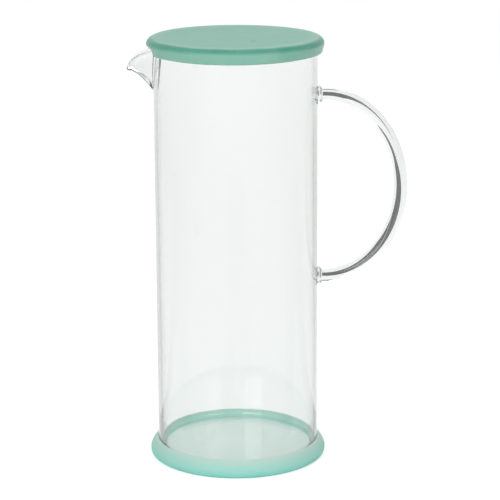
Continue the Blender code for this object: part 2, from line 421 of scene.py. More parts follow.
# %% [markdown]
# ## The lid
# The lid is one soft moulding of silicone: a flat plate with a crease round its top, a shoulder that
# slopes to the widest line, a skirt that grips the outside of the rim and a plug ring that grips the
# inside. A moulding has no sharp corner, and a Bevel modifier would round them all alike. Here each
# corner of the profile has a rounding of its own.

# %% A profile with rounded corners
LONGEST_CUT = 0.3
SUPPORT_CUTS = 1.5
SAME_POINT = 1e-7


def filleted(corners, steps=6):
    """Polyline through corners of radius, height and rounding. At each corner the path leaves one edge a
    cut before it and joins the next a cut after it, on the Bezier curve (1-t)^2 a + 2t(1-t) c + t^2 b
    with the corner c as its middle handle. The cut is the rounding times the tangent of half the turn,
    and at most a share of the shorter edge. A support point a little further away on each side keeps the
    flat faces flat when they are shaded smooth. A rounding of 0 leaves a corner alone."""
    corners = np.asarray(corners, float)
    rounding = corners[1:-1, 2:]
    corners = corners[:, :2]
    edge = np.diff(corners, axis=0)
    length = np.linalg.norm(edge, axis=1, keepdims=True)
    way = edge / length
    turn = np.arccos(np.clip((way[:-1] * way[1:]).sum(axis=1, keepdims=True), -1, 1))
    cut = np.minimum(rounding * np.tan(turn / 2), LONGEST_CUT * np.minimum(length[:-1], length[1:]))
    middle = corners[1:-1]
    t = np.linspace(0, 1, steps + 1)[None, :, None]
    leave = (middle - cut * way[:-1])[:, None, :]
    join = (middle + cut * way[1:])[:, None, :]
    bend = (1 - t) ** 2 * leave + 2 * t * (1 - t) * middle[:, None, :] + t**2 * join
    before = (middle - SUPPORT_CUTS * cut * way[:-1])[:, None, :]
    behind = (middle + SUPPORT_CUTS * cut * way[1:])[:, None, :]
    path = np.concatenate([before, bend, behind], axis=1).reshape(-1, 2)
    path = np.concatenate([corners[:1], path, corners[-1:]])
    apart = np.linalg.norm(np.diff(path, axis=0), axis=1) > SAME_POINT
    return path[np.concatenate([[True], apart])]


print("helper ready: filleted")

# %% The lid's profile
LID_RADIUS = 0.0539
LID_TOP = RIM + 0.0057
LID_FLAT_RADIUS = 0.0503
LID_SHOULDER_DROP = 0.0040
LID_SHOULDER_START = math.radians(65)
LID_FIRST_RING = 0.004
LID_LAST_RING = 0.001
CREASE_ROUNDING = 0.0012
CREASE_END = 0.048
SKIRT_DEPTH = 0.0034
SKIRT_LOW_RADIUS = 0.0527
PLUG_DEPTH = 0.0044
PLUG_THICKNESS = 0.0026
SHOULDER_STEPS = 14
TOP_ROWS = 89

shoulder_r = (LID_RADIUS - LID_FLAT_RADIUS) / (1 - math.cos(LID_SHOULDER_START))
shoulder_z = LID_SHOULDER_DROP / math.sin(LID_SHOULDER_START)
widest = LID_TOP - LID_SHOULDER_DROP
shoulder = arc(LID_RADIUS - shoulder_r, widest, shoulder_r, shoulder_z, 0, LID_SHOULDER_START,
               SHOULDER_STEPS)
plate_under = RIM + GAP
skirt_inner = BODY_RADIUS + GAP
skirt_end = RIM - SKIRT_DEPTH
plug_outer = BODY_RADIUS - WALL - GAP
plug_inner = plug_outer - PLUG_THICKNESS
plug_end = RIM - PLUG_DEPTH

under = filleted([
    (LID_FIRST_RING, plate_under, 0),
    (plug_inner, plate_under, 0.0006),
    (plug_inner, plug_end, 0.0006),
    (plug_outer, plug_end, 0.0006),
    (plug_outer, plate_under, 0.0004),
    (skirt_inner, plate_under, 0.0003),
    (skirt_inner, skirt_end, 0.0005),
    (SKIRT_LOW_RADIUS, skirt_end, 0.0007),
    (*shoulder[0], 0),
])
crease = filleted([(*shoulder[-2], 0), (*shoulder[-1], CREASE_ROUNDING), (CREASE_END, LID_TOP, 0)])
top_rows = flat_run(np.linspace(CREASE_END, LID_LAST_RING, TOP_ROWS + 1)[1:], LID_TOP)
lid_profile = np.concatenate([under, shoulder[1:-2], crease, top_rows])
plate = round(1000 * (LID_TOP - plate_under), 1)
print("lid profile:", len(lid_profile), "points, plate", plate, "mm thick")

# %% [markdown]
# A notch in the skirt and the plug leaves the beak open. A Boolean could cut it, but that leaves a hard
# edge. Here the notch is part of the formula: near the beak everything that hangs below the plate is
# lifted, so the skirt ends in a soft curve as a moulded one does. The top also carries the faint dished
# mark that the mould's gate leaves, and the plate sags by a tenth of a millimetre, because soft silicone
# never lies quite flat.

# %% Turn the lid, lift the notch and press the gate mark
LID_COLUMNS = 400
NOTCH_HALF_WIDTH = 0.0183
NOTCH_TOP = RIM + 0.0006
NOTCH_SOFT = math.radians(0.6)
NOTCH_KEEP = 0.04
LID_SAG = 0.00012
SAG_TURN = 0.8
GATE_X = 0.0106
GATE_Y = -0.0200
GATE_RADIUS = 0.0019
GATE_DEPTH = 0.00035
GATE_LIP_SHARE = 0.45
GATE_LIP_PLACE = 1.15
GATE_LIP_WIDTH = 0.3


def plate_sag(points, angle):
    """How far the plate leaves its plane: the sag times q^2 cos(2 angle + turn) - (1 - q^2), where q is
    the distance from the axis as a share of the radius. The middle hangs and the rim waves."""
    squared = (np.hypot(points[..., 0], points[..., 1]) / LID_RADIUS) ** 2
    return LID_SAG * (squared * np.cos(2 * angle + SAG_TURN) - (1 - squared))


def gate_mark(points):
    """Dish with a low lip: the depth times a bell curve at the lip's place minus exp(-g^4), where g is
    the distance from the gate in gate radii."""
    away = np.hypot(points[..., 0] - GATE_X, points[..., 1] - GATE_Y) / GATE_RADIUS
    low_lip = GATE_LIP_SHARE * np.exp(-(((away - GATE_LIP_PLACE) / GATE_LIP_WIDTH) ** 2))
    return GATE_DEPTH * (low_lip - np.exp(-(away**4)))


notch_angle = math.asin(NOTCH_HALF_WIDTH / skirt_inner)
lid_angle = crowded_turn(LID_COLUMNS, [-notch_angle, notch_angle], spread=math.radians(3.5), gain=7.0)
lid_rings = turned(lid_profile, lid_angle)
in_notch = 1 - smooth_step(np.abs(lid_angle), notch_angle - NOTCH_SOFT, notch_angle + NOTCH_SOFT)
hanging = np.maximum(NOTCH_TOP - lid_rings[..., 2], 0)
lid_rings[..., 2] += (1 - NOTCH_KEEP) * in_notch * hanging
above_rim = smooth_step(lid_rings[..., 2], plate_under, LID_TOP)
lid_rings[..., 2] += above_rim * (plate_sag(lid_rings, lid_angle) + gate_mark(lid_rings))

silicone_lid = closed_skin("silicone_lid", lid_rings, (0, 0, plate_under), (0, 0, LID_TOP - LID_SAG))
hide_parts("lid_cap")
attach(silicone_lid, "lid")
notch = round(2000 * NOTCH_HALF_WIDTH, 1)
print("silicone_lid:", len(silicone_lid.data.polygons), "faces, notch", notch, "mm wide")

# %% [markdown]
# ## The boot
# The boot is a shallow silicone cup that keeps the glass from knocking on the table and from sliding. It
# has a flat underside, a rounded foot, a waist and a slope that thins to a lip on the glass. It is a plain
# turned shape, which a Screw modifier would make as well, but the same helpers as before keep all of its
# arcs in one profile.

# %% Turn the boot
BOOT_RADIUS = 0.0548
BOOT_HEIGHT = 0.0109
BOOT_FLOOR = 0.0030
BOOT_WAIST = 0.0044
BOOT_FOOT_ROUND = 0.0027
BOOT_LIP = 0.0005
BOOT_LIP_ROUNDING = 0.0004
BOOT_SLOPE_POWER = 1.17
BOOT_FIRST_RING = 0.004
BOOT_FLOOR_ROWS = 13
BOOT_COLUMNS = 256

boot_inner = BODY_RADIUS + GAP
lip_r = boot_inner + BOOT_LIP
foot_r = BOOT_RADIUS - BOOT_FOOT_ROUND
slope_r = BOOT_RADIUS - lip_r
slope_z = BOOT_HEIGHT - BOOT_WAIST
under_foot = flat_run(np.linspace(BOOT_FIRST_RING, foot_r, BOOT_FLOOR_ROWS + 1)[:-1], 0.0)
foot = arc(foot_r, BOOT_FOOT_ROUND, BOOT_FOOT_ROUND, BOOT_FOOT_ROUND, -np.pi / 2, 0, steps=10)
slope = arc(lip_r, BOOT_WAIST, slope_r, slope_z, 0, np.pi / 2, steps=18, power=BOOT_SLOPE_POWER)
lip_edge = filleted([
    (*slope[-2], 0),
    (*slope[-1], BOOT_LIP_ROUNDING),
    (boot_inner, BOOT_HEIGHT, BOOT_LIP_ROUNDING),
    (boot_inner, wall_foot, 0),
], steps=4)
cup = arc(heel_r, wall_foot, boot_inner - heel_r, wall_foot - BOOT_FLOOR, 0, -np.pi / 2, steps=12)
cup_floor = flat_run(np.linspace(heel_r, BOOT_FIRST_RING, BOOT_FLOOR_ROWS + 1)[1:], BOOT_FLOOR)
boot_profile = np.concatenate([under_foot, foot, slope[:-2], lip_edge[:-1], cup, cup_floor])

boot_rings = turned(boot_profile, np.linspace(-np.pi, np.pi, BOOT_COLUMNS, endpoint=False))
silicone_boot = closed_skin("silicone_boot", boot_rings, (0, 0, 0), (0, 0, BOOT_FLOOR))
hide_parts("base_boot")
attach(silicone_boot, "boot")
across = round(2000 * BOOT_RADIUS, 1)
print("silicone_boot:", len(silicone_boot.data.polygons), "faces,", across, "mm across")

# %% [markdown]
# ## Tools for the materials
# A material is a small network of nodes. It could be drawn by hand in the Shader Editor, and these short
# helpers do the same in code: they add a node and feed its inputs, map a value to a range, mix two
# colours, do sums, and start a node group or a material.

# %% Node helpers


def feed(tree, socket, value):
    """Link an input to a socket, or set it to a constant."""
    if isinstance(value, bpy.types.NodeSocket):
        tree.links.new(value, socket)
    else:
        socket.default_value = value


def fill(tree, node, **values):
    """Feed inputs of a node by name, with underscores for spaces."""
    for name, value in values.items():
        feed(tree, node.inputs[name.replace("_", " ")], value)


def add_node(tree, kind, **values):
    """A node of this kind with its inputs filled."""
    node = tree.nodes.new(kind)
    fill(tree, node, **values)
    return node


def ranged(tree, source, low, high, to_low, to_high):
    """Map Range node from low..high to to_low..to_high, clamped."""
    node = add_node(tree, "ShaderNodeMapRange", Value=source, From_Min=low, From_Max=high,
                    To_Min=to_low, To_Max=to_high)
    return node.outputs["Result"]


def mixed(tree, factor, first, second):
    """Colour mix of two colours, each a socket or four numbers, by a socket's value."""
    node = tree.nodes.new("ShaderNodeMix")
    node.data_type = "RGBA"
    feed(tree, node.inputs["Factor"], factor)
    for name, value in (("A", first), ("B", second)):
        feed(tree, next(s for s in node.inputs if s.name == name and s.type == "RGBA"), value)
    return next(s for s in node.outputs if s.type == "RGBA")


def maths(tree, operation, result, *others):
    """Math nodes in a row: the first value with the second, then with the third, each a socket or a
    number."""
    for other in others:
        node = tree.nodes.new("ShaderNodeMath")
        node.operation = operation
        feed(tree, node.inputs[0], result)
        feed(tree, node.inputs[1], other)
        result = node.outputs["Value"]
    return result


def new_group(name, inputs, outputs):
    """Shader node group with named inputs (name, kind, default) and outputs (name, kind)."""
    group = bpy.data.node_groups.new(name, "ShaderNodeTree")
    for label, kind, default in inputs:
        socket = group.interface.new_socket(label, in_out="INPUT", socket_type=kind)
        socket.default_value = default
    for label, kind in outputs:
        group.interface.new_socket(label, in_out="OUTPUT", socket_type=kind)
    return group, group.nodes.new("NodeGroupInput").outputs, group.nodes.new("NodeGroupOutput").inputs


def new_material(name):
    """Material with a node tree, its Principled shader and its output."""
    material = bpy.data.materials.new(name)
    material.use_nodes = True
    nodes = material.node_tree.nodes
    return material, material.node_tree, nodes["Principled BSDF"], nodes["Material Output"]


print("node helpers ready")

# %% [markdown]
# ## Silicone
# Moulded silicone is a little translucent and satin, neither glossy nor chalky. Close up its colour is
# faintly clouded, its skin has a fine grain from the mould, and it picks up pale dust and scuffs. Its
# edges get a pale painted highlight, where a rounded edge would catch the light. A painted image could
# show all that, but noise textures have no seam and no limit to their sharpness. The lid and the boot
# share these effects, so they are one node group with its own values in each material. Patterns read
# Object coordinates, which stay put on a piece that sits at the origin.

# %% The shared silicone skin
COLOUR = "NodeSocketColor"
VALUE = "NodeSocketFloat"
PALE_CLOUD = (0.75, 0.92, 0.88, 1)
# pale colour of dust specks and scuffs, and of the painted highlight on edges
PALE_DUST_AND_HIGHLIGHT = (0.86, 0.93, 0.90, 1)
MARK_ROUGHNESS = 0.3
CLOUD_RELIEF = 2.0
silicone_skin, skin_in, skin_out = new_group(
    "silicone_skin",
    [("Colour", COLOUR, (0.2, 0.5, 0.4, 1)), ("Cloud", VALUE, 0.1), ("Dust", VALUE, 0.3),
     ("Scuff", VALUE, 0.3), ("Satin", VALUE, 0.42), ("Edge", VALUE, 0.0)],
    [("Colour", COLOUR), ("Roughness", VALUE), ("Height", VALUE)],
)


def noise(tree, place, scale, detail, roughness):
    """Value of a Noise Texture at a place."""
    node = add_node(tree, "ShaderNodeTexNoise", Vector=place, Scale=scale, Detail=detail,
                    Roughness=roughness)
    return node.outputs["Fac"]


def share_above(value, low, high, amount):
    """How far a noise rises from low to high, times an input of the group."""
    return maths(silicone_skin, "MULTIPLY", ranged(silicone_skin, value, low, high, 0, 1), amount)


place_on = silicone_skin.nodes.new("ShaderNodeTexCoord").outputs["Object"]
drawn_out = add_node(silicone_skin, "ShaderNodeMapping", Vector=place_on, Rotation=(0, 0, 0.25),
                     Scale=(1.0, 6.0, 3.0)).outputs["Vector"]
cloud = noise(silicone_skin, place_on, scale=60.0, detail=3.0, roughness=0.55)
grain = noise(silicone_skin, place_on, scale=1900.0, detail=2.0, roughness=0.6)
dust = noise(silicone_skin, place_on, scale=760.0, detail=1.0, roughness=0.5)
scuff = noise(silicone_skin, drawn_out, scale=150.0, detail=1.0, roughness=0.5)

clouded = share_above(cloud, 0.3, 0.7, skin_in["Cloud"])
specks = share_above(dust, 0.70, 0.78, skin_in["Dust"])
scuffed = share_above(scuff, 0.70, 0.78, skin_in["Scuff"])
patchy = ranged(silicone_skin, cloud, 0.35, 0.6, 0.3, 1)
# painted highlight on the edges, broken up by the cloud
edge_highlight = maths(silicone_skin, "MULTIPLY", patchy, skin_in["Edge"])
marks_and_highlight = maths(silicone_skin, "MAXIMUM", edge_highlight, specks, scuffed)
cloud_colour = mixed(silicone_skin, clouded, skin_in["Colour"], PALE_CLOUD)
# dust, scuffs and the painted edge highlight mixed into the colour
marked_and_lit_colour = mixed(silicone_skin, marks_and_highlight, cloud_colour, PALE_DUST_AND_HIGHLIGHT)
shine = ranged(silicone_skin, cloud, 0.3, 0.7, -0.05, 0.06)
marked_rough = maths(silicone_skin, "MULTIPLY", marks_and_highlight, MARK_ROUGHNESS)
rough = maths(silicone_skin, "ADD", skin_in["Satin"], shine, marked_rough)
slow_relief = maths(silicone_skin, "MULTIPLY", cloud, CLOUD_RELIEF)
relief = maths(silicone_skin, "ADD", slow_relief, grain)
feed(silicone_skin, skin_out["Colour"], marked_and_lit_colour)
feed(silicone_skin, skin_out["Roughness"], rough)
feed(silicone_skin, skin_out["Height"], relief)
print("silicone_skin:", len(silicone_skin.nodes), "nodes")

# %% [markdown]
# Thin silicone looks paler, because light comes through it, and here that light and some shade are
# painted into the colour. The lid has its deep colour on the plate, its shoulder is painted darker as
# painted shade, and its thin skirt is painted paler as painted light. The boot is painted paler towards
# its thin lip as painted light, and palest on the web under the glass, where painted light and a painted
# glow stand in for the white table shining up through it. Colour ramps would do for these zones, but a Map
# Range node with plain metres is easier to read and to change. The height of a point is the Z of its
# Object coordinates, and its distance from the axis is the length of X and Y alone.

# %% Colours of the lid and the boot
BLACK = (0, 0, 0, 1)
LID_DEEP = (0.100, 0.490, 0.345, 1)
# painted shade: a darker copy of the lid's colour for its shoulder
LID_SHOULDER_SHADE = (0.082, 0.425, 0.312, 1)
# painted light: the lid's thin skirt painted paler
LID_SKIRT_LIT = (0.258, 0.575, 0.450, 1)
# strength of the painted highlight on the lid's crease
LID_CREASE_HIGHLIGHT = 0.22
BOOT_DEEP = (0.315, 0.860, 0.745, 1)
# painted light: the boot painted paler towards its lip
BOOT_LIP_LIT = (0.650, 0.900, 0.805, 1)
# painted light: the web under the glass painted pale
BOOT_WEB_LIT = (0.820, 0.980, 0.930, 1)
# strength of the painted highlight below the boot's lip
BOOT_LIP_HIGHLIGHT = 0.35
# painted glow of the web under the glass
WEB_GLOW = (0.085, 0.120, 0.108, 1)

shaded_shoulder_range = (LID_FLAT_RADIUS, LID_FLAT_RADIUS + 0.001)
lit_skirt_range = (widest + 0.0022, widest + 0.0002)
crease_heights = (LID_TOP - 0.0006, LID_TOP - 0.0003)
crease_radii = (LID_FLAT_RADIUS - 0.008, LID_FLAT_RADIUS - 0.001)
lit_slope_range = (0.002, BOOT_HEIGHT)
web_radii = (boot_inner - 0.003, boot_inner - 0.006)
web_heights = (0.5 * BOOT_FLOOR, 0.9 * BOOT_FLOOR)
lip_range = (BOOT_HEIGHT - 0.0008, BOOT_HEIGHT - 0.0002)


def lid_tone(tree, height, radius):
    """Deep on the plate, with a darker painted shade on the shoulder, and painted paler from just above
    the widest line downwards, as painted light on the thin skirt.
    """
    # the shoulder's painted shade over the deep plate colour
    thick = mixed(tree, ranged(tree, radius, *shaded_shoulder_range, 0, 1), LID_DEEP, LID_SHOULDER_SHADE)
    # the skirt's painted light, from just above the widest line downwards
    return mixed(tree, ranged(tree, height, *lit_skirt_range, 0, 1), thick, LID_SKIRT_LIT)


def lid_crease_highlight(tree, height, radius):
    """Painted highlight on the crease round the top: the last half millimetre up and the rim of the flat
    plate.
    """
    high = ranged(tree, height, *crease_heights, 0, LID_CREASE_HIGHLIGHT)
    return maths(tree, "MULTIPLY", high, ranged(tree, radius, *crease_radii, 0, 1))


def web_mask(tree, height, radius):
    """1 on the web inside the boot's cup and 0 elsewhere."""
    inside = ranged(tree, radius, *web_radii, 0, 1)
    return maths(tree, "MULTIPLY", inside, ranged(tree, height, *web_heights, 0, 1))


def boot_tone(tree, height, radius):
    """Deep at the foot, painted paler up the slope to the lip as painted light, and the web inside the cup
    painted pale as painted light.
    """
    # painted light up the slope
    outside = mixed(tree, ranged(tree, height, *lit_slope_range, 0, 1), BOOT_DEEP, BOOT_LIP_LIT)
    # painted light on the web
    return mixed(tree, web_mask(tree, height, radius), outside, BOOT_WEB_LIT)


def boot_lip_highlight(tree, height, radius):
    """Painted highlight on the last half millimetre below the lip."""
    return ranged(tree, height, *lip_range, 0, BOOT_LIP_HIGHLIGHT)


def boot_glow(tree, height, radius):
    """Painted glow on the web, for the little light that the white table sends up through it."""
    return mixed(tree, web_mask(tree, height, radius), BLACK, WEB_GLOW)


print("colours ready: 3 zones on the lid, 3 on the boot")

# %% Materials of the lid and the boot
GLOW_LEVEL = 1.0


def height_and_radius(tree):
    """The height of a point on the piece and its distance from the axis, as two sockets."""
    place = tree.nodes.new("ShaderNodeTexCoord").outputs["Object"]
    split = add_node(tree, "ShaderNodeSeparateXYZ", Vector=place)
    flat = add_node(tree, "ShaderNodeMapping", Vector=place, Scale=(1, 1, 0))
    length = tree.nodes.new("ShaderNodeVectorMath")
    length.operation = "LENGTH"
    feed(tree, length.inputs[0], flat.outputs["Vector"])
    return split.outputs["Z"], length.outputs["Value"]


def silicone(name, tone, edge, glow, dust_amount, scuff_amount, satin_amount):
    """Satin silicone. Its colour with the painted light and shade in it, the painted highlight on its
    edges and its painted glow, if any, come from functions of the height and the distance from the axis."""
    material, tree, shader, _ = new_material(name)
    place = height_and_radius(tree)
    skin = tree.nodes.new("ShaderNodeGroup")
    skin.node_tree = silicone_skin
    # Edge carries the painted highlight on the crease or the lip
    fill(tree, skin, Colour=tone(tree, *place), Edge=edge(tree, *place),
         Dust=dust_amount, Scuff=scuff_amount, Satin=satin_amount)
    bump = add_node(tree, "ShaderNodeBump", Strength=0.25, Distance=0.00012,
                    Height=skin.outputs["Height"])
    fill(tree, shader, Base_Color=skin.outputs["Colour"], Roughness=skin.outputs["Roughness"],
         Normal=bump.outputs["Normal"], IOR=1.41, Subsurface_Weight=0.25,
         Subsurface_Radius=(1.0, 0.9, 0.8), Subsurface_Scale=0.003)
    if glow:
        fill(tree, shader, Emission_Color=glow(tree, *place), Emission_Strength=GLOW_LEVEL)
    return material


lid_material = silicone("satin_lid", lid_tone, lid_crease_highlight, None,
                        dust_amount=0.12, scuff_amount=0.18, satin_amount=0.34)
boot_material = silicone("satin_boot", boot_tone, boot_lip_highlight, boot_glow,
                         dust_amount=0.2, scuff_amount=0.15, satin_amount=0.60)
silicone_lid.data.materials.append(lid_material)
silicone_boot.data.materials.append(boot_material)
print("materials:", lid_material.name, "and", boot_material.name)

# %% [markdown]
# ## Glass
# Clear glass has no colour of its own, so what shows is how it bends and mirrors its surroundings. A Glass
# BSDF alone would look like a perfect lens. Three things make it look like a used kitchen glass: a faint
# grey-green body that gathers where the light runs a long way inside the wall, very faint smears that
# blur the mirror image, and the slow waves that drawing the tube leaves in its skin. The body colour is a
# Volume Absorption node, so it depends on the real path length.

# %% The shared glass skin
glass_skin, glass_in, glass_out = new_group(
    "glass_skin",
    [("Smear", VALUE, 0.03), ("Wave Scale", VALUE, 9.0)],
    [("Roughness", VALUE), ("Height", VALUE)],
)
place_on = glass_skin.nodes.new("ShaderNodeTexCoord").outputs["Object"]
drawn = add_node(glass_skin, "ShaderNodeMapping", Vector=place_on, Scale=(1.0, 1.0, 0.25))
smear = noise(glass_skin, place_on, scale=38.0, detail=4.0, roughness=0.6)
wave = noise(glass_skin, drawn.outputs["Vector"], glass_in["Wave Scale"], detail=1.0, roughness=0.4)
smeared = maths(glass_skin, "MULTIPLY", ranged(glass_skin, smear, 0.52, 0.75, 0, 1), glass_in["Smear"])
feed(glass_skin, glass_out["Roughness"], smeared)
feed(glass_skin, glass_out["Height"], wave)
print("glass_skin:", len(glass_skin.nodes), "nodes")

# %% [markdown]
# Rays that only carry shadow or soft light pass straight through, because bending them costs much and
# shows little. A ray that has been mirrored three times, or has met nine surfaces, is caught in the wall.
# It would end black, so it passes a dim clear surface instead, and the wall stays grey there. The depths
# of a ray are whole numbers, so a limit half-way between two of them tells them apart.

# %% The two glass materials
ONE_OR_MORE = 0.5
TWO_OR_MORE = 1.5
THREE_OR_MORE = 2.5
NINE_OR_MORE = 8.5
DEEP_TINT = (0.42, 0.44, 0.43, 1)
SOFT_TINT = (0.98, 0.985, 0.983, 1)
GLASS_BODY = (0.75, 0.80, 0.785, 1)
GLASS_TINT = (0.985, 0.995, 0.992, 1)


def pick_shader(tree, output, factor, first, second):
    """Show the first shader where the factor is 0 and the second where it is 1."""
    pick = add_node(tree, "ShaderNodeMixShader", Fac=factor)
    feed(tree, pick.inputs[1], first)
    feed(tree, pick.inputs[2], second)
    feed(tree, output.inputs["Surface"], pick.outputs["Shader"])


def clear_glass(name, smear_amount, wave_scale, wave_depth, density):
    """Clear glass with faint smears and drawn waves, and a body that takes up a little light per
    metre."""
    material, tree, shader, output = new_material(name)
    skin = tree.nodes.new("ShaderNodeGroup")
    skin.node_tree = glass_skin
    fill(tree, skin, Smear=smear_amount, Wave_Scale=wave_scale)
    bump = add_node(tree, "ShaderNodeBump", Strength=1.0, Distance=wave_depth,
                    Height=skin.outputs["Height"])
    fill(tree, shader, Roughness=skin.outputs["Roughness"], Normal=bump.outputs["Normal"],
         Base_Color=GLASS_TINT, IOR=1.47, Transmission_Weight=1.0)
    body = add_node(tree, "ShaderNodeVolumeAbsorption", Color=GLASS_BODY, Density=density)
    feed(tree, output.inputs["Volume"], body.outputs["Volume"])
    path = tree.nodes.new("ShaderNodeLightPath").outputs
    soft = maths(tree, "MAXIMUM", path["Is Shadow Ray"], path["Is Diffuse Ray"])
    trapped = maths(tree, "GREATER_THAN", path["Glossy Depth"], THREE_OR_MORE)
    deep = maths(tree, "GREATER_THAN", path["Ray Depth"], NINE_OR_MORE)
    through = add_node(tree, "ShaderNodeBsdfTransparent", Color=mixed(tree, soft, DEEP_TINT, SOFT_TINT))
    straight_on = maths(tree, "MAXIMUM", soft, trapped, deep)
    pick_shader(tree, output, straight_on, shader.outputs["BSDF"], through.outputs["BSDF"])
    return material


jug_material = clear_glass("jug_glass", smear_amount=0.05, wave_scale=14.0, wave_depth=0.0002,
                           density=50.0)
handle_material = clear_glass("handle_glass", smear_amount=0.03, wave_scale=60.0, wave_depth=0.0001,
                              density=40.0)
glass_jug.data.materials.append(jug_material)
glass_handle.data.materials.append(handle_material)
print("materials:", jug_material.name, "and", handle_material.name)

# %% [markdown]
# The wall of the beak also pipes light: what enters at its keel is mirrored inside the far flank and comes
# out at the rim, right under the lid. Daylight glows through the real silicone there, and the keel looks
# white between two thin lines. So to light that was mirrored inside glass, and to no other, the lid also
# glows. The glow has just the light that its own aqua lacks to white, so it holds more red than green.

# %% The lid as piped light sees it
PIPED_TONE = (0.80, 0.69, 0.73, 1)

tree = lid_material.node_tree
path = tree.nodes.new("ShaderNodeLightPath").outputs
mirrored = maths(tree, "GREATER_THAN", path["Glossy Depth"], ONE_OR_MORE)
inside = maths(tree, "GREATER_THAN", path["Transmission Depth"], ONE_OR_MORE)
few = maths(tree, "LESS_THAN", path["Transmission Depth"], THREE_OR_MORE)
piped = maths(tree, "MULTIPLY", mirrored, inside, few)
fill(tree, tree.nodes["Principled BSDF"], Emission_Color=mixed(tree, piped, BLACK, PIPED_TONE),
     Emission_Strength=GLOW_LEVEL)
print("satin_lid:", len(tree.nodes), "nodes")

# %% [markdown]
# ## Floor
# The pitcher stands on a plain white floor that runs out to a white distance. The floor is matt and takes
# the pitcher's soft shadow. To the eye, and to what mirrors or bends the view, it also glows a little, so
# that it comes out as white as paper without more light on the pitcher. Through glass it glows a little
# less, which gives the empty jug its faint grey. The lamps light only the near floor, so with the distance
# the glow takes the place of the light on the floor, and the floor meets the white sky without a line.

# %% The floor, as a numpy grid
FLOOR_HALF = 7.0
FLOOR_LINES = 9
FLOOR_GLOW = 0.58
THROUGH_GLASS = 0.72
FAR_GLOW = 1.0
FADE_RANGE = (1.0, 1.8)
MATT_WHITE = (0.80, 0.80, 0.80, 1)
WHITE = (1, 1, 1, 1)


def stage_grid(name, points):
    """Stage object of four-sided faces between neighbours on a rows x columns x 3 grid of points."""
    rows, columns = points.shape[:2]
    index = np.arange(rows * columns).reshape(rows, columns)
    corners = [index[:-1, :-1], index[1:, :-1], index[1:, 1:], index[:-1, 1:]]
    faces = np.stack(corners, axis=-1).reshape(-1, 4)
    mesh = bpy.data.meshes.new(name)
    mesh.from_pydata(points.reshape(-1, 3).tolist(), [], faces.tolist())
    item = bpy.data.objects.new(name, mesh)
    bpy.context.scene.collection.objects.link(item)
    return item


def bare_material(name):
    """Material with only an output node."""
    material, tree, shader, output = new_material(name)
    tree.nodes.remove(shader)
    return material, tree, output


floor_lines = np.linspace(-FLOOR_HALF, FLOOR_HALF, FLOOR_LINES)
floor_x, floor_y = np.meshgrid(floor_lines, floor_lines, indexing="ij")
floor = stage_grid("white_floor", np.stack([floor_x, floor_y, np.zeros_like(floor_x)], axis=-1))
floor_material, tree, output = bare_material("white_floor")
path = tree.nodes.new("ShaderNodeLightPath").outputs
distance = height_and_radius(tree)[1]
full = ranged(tree, distance, *FADE_RANGE, FLOOR_GLOW, FAR_GLOW)
less = ranged(tree, distance, *FADE_RANGE, FLOOR_GLOW * THROUGH_GLASS, FAR_GLOW)
to_eye = maths(tree, "MULTIPLY", path["Is Camera Ray"], full)
bent = maths(tree, "MULTIPLY", path["Is Transmission Ray"], less)
only_mirrored = maths(tree, "SUBTRACT", path["Is Glossy Ray"], path["Is Transmission Ray"])
mirrored = maths(tree, "MULTIPLY", only_mirrored, FLOOR_GLOW)
straight = maths(tree, "MAXIMUM", path["Is Camera Ray"], path["Is Transmission Ray"])
faded = maths(tree, "MULTIPLY", straight, ranged(tree, distance, *FADE_RANGE, 0, 1))
matt = add_node(tree, "ShaderNodeBsdfDiffuse", Color=mixed(tree, faded, MATT_WHITE, BLACK))
glow = add_node(tree, "ShaderNodeEmission", Color=WHITE,
                Strength=maths(tree, "MAXIMUM", to_eye, bent, mirrored))
both = tree.nodes.new("ShaderNodeAddShader")
feed(tree, both.inputs[0], matt.outputs["BSDF"])
feed(tree, both.inputs[1], glow.outputs["Emission"])
feed(tree, output.inputs["Surface"], both.outputs["Shader"])
floor.data.materials.append(floor_material)
print("white_floor:", 2 * FLOOR_HALF, "m across")

# %% [markdown]
# ## Dark flags
# Clear glass on white would vanish, so a glass photographer sets dark flags just outside the picture. The
# rod and the very edge of the wall bend the view so far that they show a flag, and so they draw themselves
# as dark lines. The flags here are seen only by light that has crossed two glass surfaces, never by the
# camera. A ray through the edge of the wall is also mirrored inside it, and a ray through the rod is not,
# so each can have flags of its own. A ray through the open rim and the far wall isn't mirrored either. To
# keep the rod's flags from showing there, clear sheets close to the rod mark the rays that come from it,
# and a flag shows only to rays that meet it nearly face-on, the more so the higher they meet it.

# %% A material that only glass can see
ROD_TONE = 0.16
EDGE_TONE = 0.30
SLIT_TONE = 0.25
SLIT_RISE = (0.084, 0.088)
SLIT_FALL = (0.096, 0.092)
ASLANT_HEIGHTS = (0.125, 0.150)
ASLANT_LOW = 0.50
ASLANT_HIGH = 0.15


def flag_material(name, tone, seen_by):
    """Dark flag of a tone for rays that crossed at most two glass surfaces and are in the mask seen_by.
    To all other rays it is clear. The tone and the mask come from functions."""
    material, tree, output = bare_material(name)
    path = tree.nodes.new("ShaderNodeLightPath").outputs
    few = maths(tree, "LESS_THAN", path["Transmission Depth"], THREE_OR_MORE)
    shown = maths(tree, "MULTIPLY", few, seen_by(tree, path))
    dark = add_node(tree, "ShaderNodeEmission", Color=WHITE, Strength=tone(tree))
    clear = tree.nodes.new("ShaderNodeBsdfTransparent")
    pick_shader(tree, output, shown, clear.outputs["BSDF"], dark.outputs["Emission"])
    return material


def edge_tone(tree):
    """The same tone all over."""
    return EDGE_TONE


def edge_rays(tree, path):
    """Rays that were mirrored inside the glass."""
    return maths(tree, "GREATER_THAN", path["Glossy Depth"], ONE_OR_MORE)


